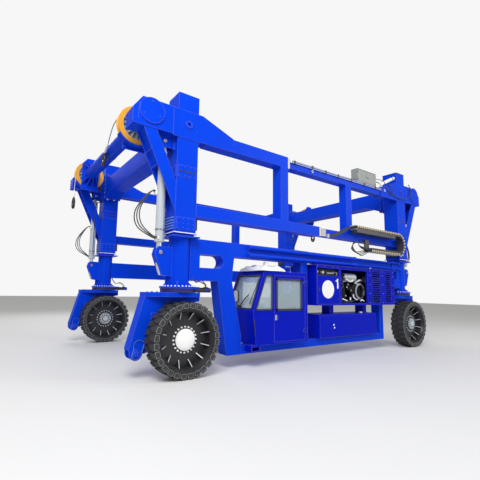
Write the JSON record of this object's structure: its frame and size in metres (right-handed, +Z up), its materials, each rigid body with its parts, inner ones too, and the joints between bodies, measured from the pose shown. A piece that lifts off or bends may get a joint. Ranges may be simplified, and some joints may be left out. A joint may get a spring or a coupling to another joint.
{
  "type": "straddle carrier",
  "caption": "Wheeled portal frame with lifting post sleeves, telescoping side beams, end sheaves, a side cab and a power pack.",
  "frame": {"origin": "centre of the bounding box at ground level, under the wheels", "axes": "+X forwards, +Y to the machine's left, where the cab is, +Z up"},
  "size_m": [10.03, 5.7858, 5.3788],
  "materials": {
    "blue_paint": "semi_gloss",
    "black_paint": "satin",
    "cylinder_grey": "semi_gloss",
    "sheave_yellow": "semi_gloss",
    "tyre_rubber": "matte",
    "wear_pad": "matte",
    "chain_plastic": "satin",
    "box_grey": "satin",
    "white_cover": "gloss",
    "cab_glazing": "gloss",
    "cab_trim": "matte"
  },
  "bodies": {
    "left_front": {"column_fl": "blue_paint", "left_front_beam": "blue_paint", "cab_body": "blue_paint", "cab_roof": "white_cover", "cab_glass": "cab_glazing", "cab_interior": "cab_trim", "power_frame": "blue_paint", "engine": "black_paint", "tank": "blue_paint"},
    "front_frame": {"front_posts": "blue_paint", "front_side_frames": "blue_paint", "front_cross_members": "blue_paint", "front_barrels": "cylinder_grey", "slide_pads": "wear_pad"},
    "rear_frame": {"rear_posts": "blue_paint", "rear_side_frames": "blue_paint", "rear_cross_members": "blue_paint", "rear_barrels": "cylinder_grey", "energy_chain": "chain_plastic", "electric_box": "box_grey"},
    "right_front": {"column_fr": "blue_paint", "right_front_beam": "blue_paint"},
    "left_rear": {"column_rl": "blue_paint", "left_rear_beam": "blue_paint"},
    "right_rear": {"column_rr": "blue_paint", "right_rear_beam": "blue_paint"},
    "knuckle_fl": {"knuckle_fl": "blue_paint"},
    "wheel_fl": {"rim_fl": "black_paint", "tyre_fl": "tyre_rubber"},
    "sheave_fl": {"sheave_fl": "sheave_yellow"},
    "knuckle_fr": {"knuckle_fr": "blue_paint"},
    "wheel_fr": {"rim_fr": "black_paint", "tyre_fr": "tyre_rubber"},
    "sheave_fr": {"sheave_fr": "sheave_yellow"},
    "knuckle_rl": {"knuckle_rl": "blue_paint"},
    "wheel_rl": {"rim_rl": "black_paint", "tyre_rl": "tyre_rubber"},
    "sheave_rl": {"sheave_rl": "sheave_yellow"},
    "knuckle_rr": {"knuckle_rr": "blue_paint"},
    "wheel_rr": {"rim_rr": "black_paint", "tyre_rr": "tyre_rubber"},
    "sheave_rr": {"sheave_rr": "sheave_yellow"},
    "cab_door": {"cab_door": "blue_paint", "door_glass": "cab_glazing"},
    "power_door": {"power_door": "blue_paint"}
  },
  "joints": [
    {"name": "lift", "type": "slide", "parent": "left_front", "child": "front_frame", "axis": [0, 0, 1], "range_m": [0, 1.5]},
    {"name": "right_lift", "type": "slide", "parent": "front_frame", "child": "right_front", "axis": [0, 0, -1], "range_m": [0, 1.5]},
    {"name": "extend", "type": "slide", "parent": "front_frame", "child": "rear_frame", "axis": [-1, 0, 0], "range_m": [0, 2]},
    {"name": "left_extend", "type": "slide", "parent": "left_front", "child": "left_rear", "axis": [-1, 0, 0], "range_m": [0, 2]},
    {"name": "right_extend", "type": "slide", "parent": "right_front", "child": "right_rear", "axis": [-1, 0, 0], "range_m": [0, 2]},
    {"name": "steer_fl", "type": "hinge", "parent": "left_front", "child": "knuckle_fl", "pos_m": [3.85, 2.363, 1.575], "axis": [0, 0, 1], "range_deg": [-45, 45]},
    {"name": "steer_fr", "type": "hinge", "parent": "right_front", "child": "knuckle_fr", "pos_m": [3.85, -2.587, 1.575], "axis": [0, 0, 1], "range_deg": [-45, 45]},
    {"name": "steer_rl", "type": "hinge", "parent": "left_rear", "child": "knuckle_rl", "pos_m": [-3.85, 2.363, 1.575], "axis": [0, 0, 1], "range_deg": [-45, 45]},
    {"name": "steer_rr", "type": "hinge", "parent": "right_rear", "child": "knuckle_rr", "pos_m": [-3.85, -2.587, 1.575], "axis": [0, 0, 1], "range_deg": [-45, 45]},
    {"name": "wheel_spin_fl", "type": "hinge", "parent": "knuckle_fl", "child": "wheel_fl", "pos_m": [3.85, 2.639, 0.67], "axis": [0, 1, 0], "continuous": true},
    {"name": "wheel_spin_fr", "type": "hinge", "parent": "knuckle_fr", "child": "wheel_fr", "pos_m": [3.85, -2.311, 0.67], "axis": [0, 1, 0], "continuous": true},
    {"name": "wheel_spin_rl", "type": "hinge", "parent": "knuckle_rl", "child": "wheel_rl", "pos_m": [-3.85, 2.639, 0.67], "axis": [0, 1, 0], "continuous": true},
    {"name": "wheel_spin_rr", "type": "hinge", "parent": "knuckle_rr", "child": "wheel_rr", "pos_m": [-3.85, -2.311, 0.67], "axis": [0, 1, 0], "continuous": true},
    {"name": "sheave_spin_fl", "type": "hinge", "parent": "front_frame", "child": "sheave_fl", "pos_m": [4.62, 1.808, 4.8], "axis": [0, 1, 0], "continuous": true},
    {"name": "sheave_spin_fr", "type": "hinge", "parent": "front_frame", "child": "sheave_fr", "pos_m": [4.62, -2.032, 4.8], "axis": [0, 1, 0], "continuous": true},
    {"name": "sheave_spin_rl", "type": "hinge", "parent": "rear_frame", "child": "sheave_rl", "pos_m": [-4.62, 1.808, 4.8], "axis": [0, 1, 0], "continuous": true},
    {"name": "sheave_spin_rr", "type": "hinge", "parent": "rear_frame", "child": "sheave_rr", "pos_m": [-4.62, -2.032, 4.8], "axis": [0, 1, 0], "continuous": true},
    {"name": "cab_door_hinge", "type": "hinge", "parent": "left_front", "child": "cab_door", "pos_m": [0.778, 2.754, 1.2], "axis": [0, 0, 1], "range_deg": [0, 100]},
    {"name": "power_door_hinge", "type": "hinge", "parent": "left_front", "child": "power_door", "pos_m": [-0.554, 2.704, 1.6], "axis": [0, 0, 1], "range_deg": [0, 110]}
  ],
  "couplings": [
    {"joint": "right_lift", "follows": "lift", "ratio": 1},
    {"joint": "left_extend", "follows": "extend", "ratio": 1},
    {"joint": "right_extend", "follows": "extend", "ratio": 1}
  ]
}
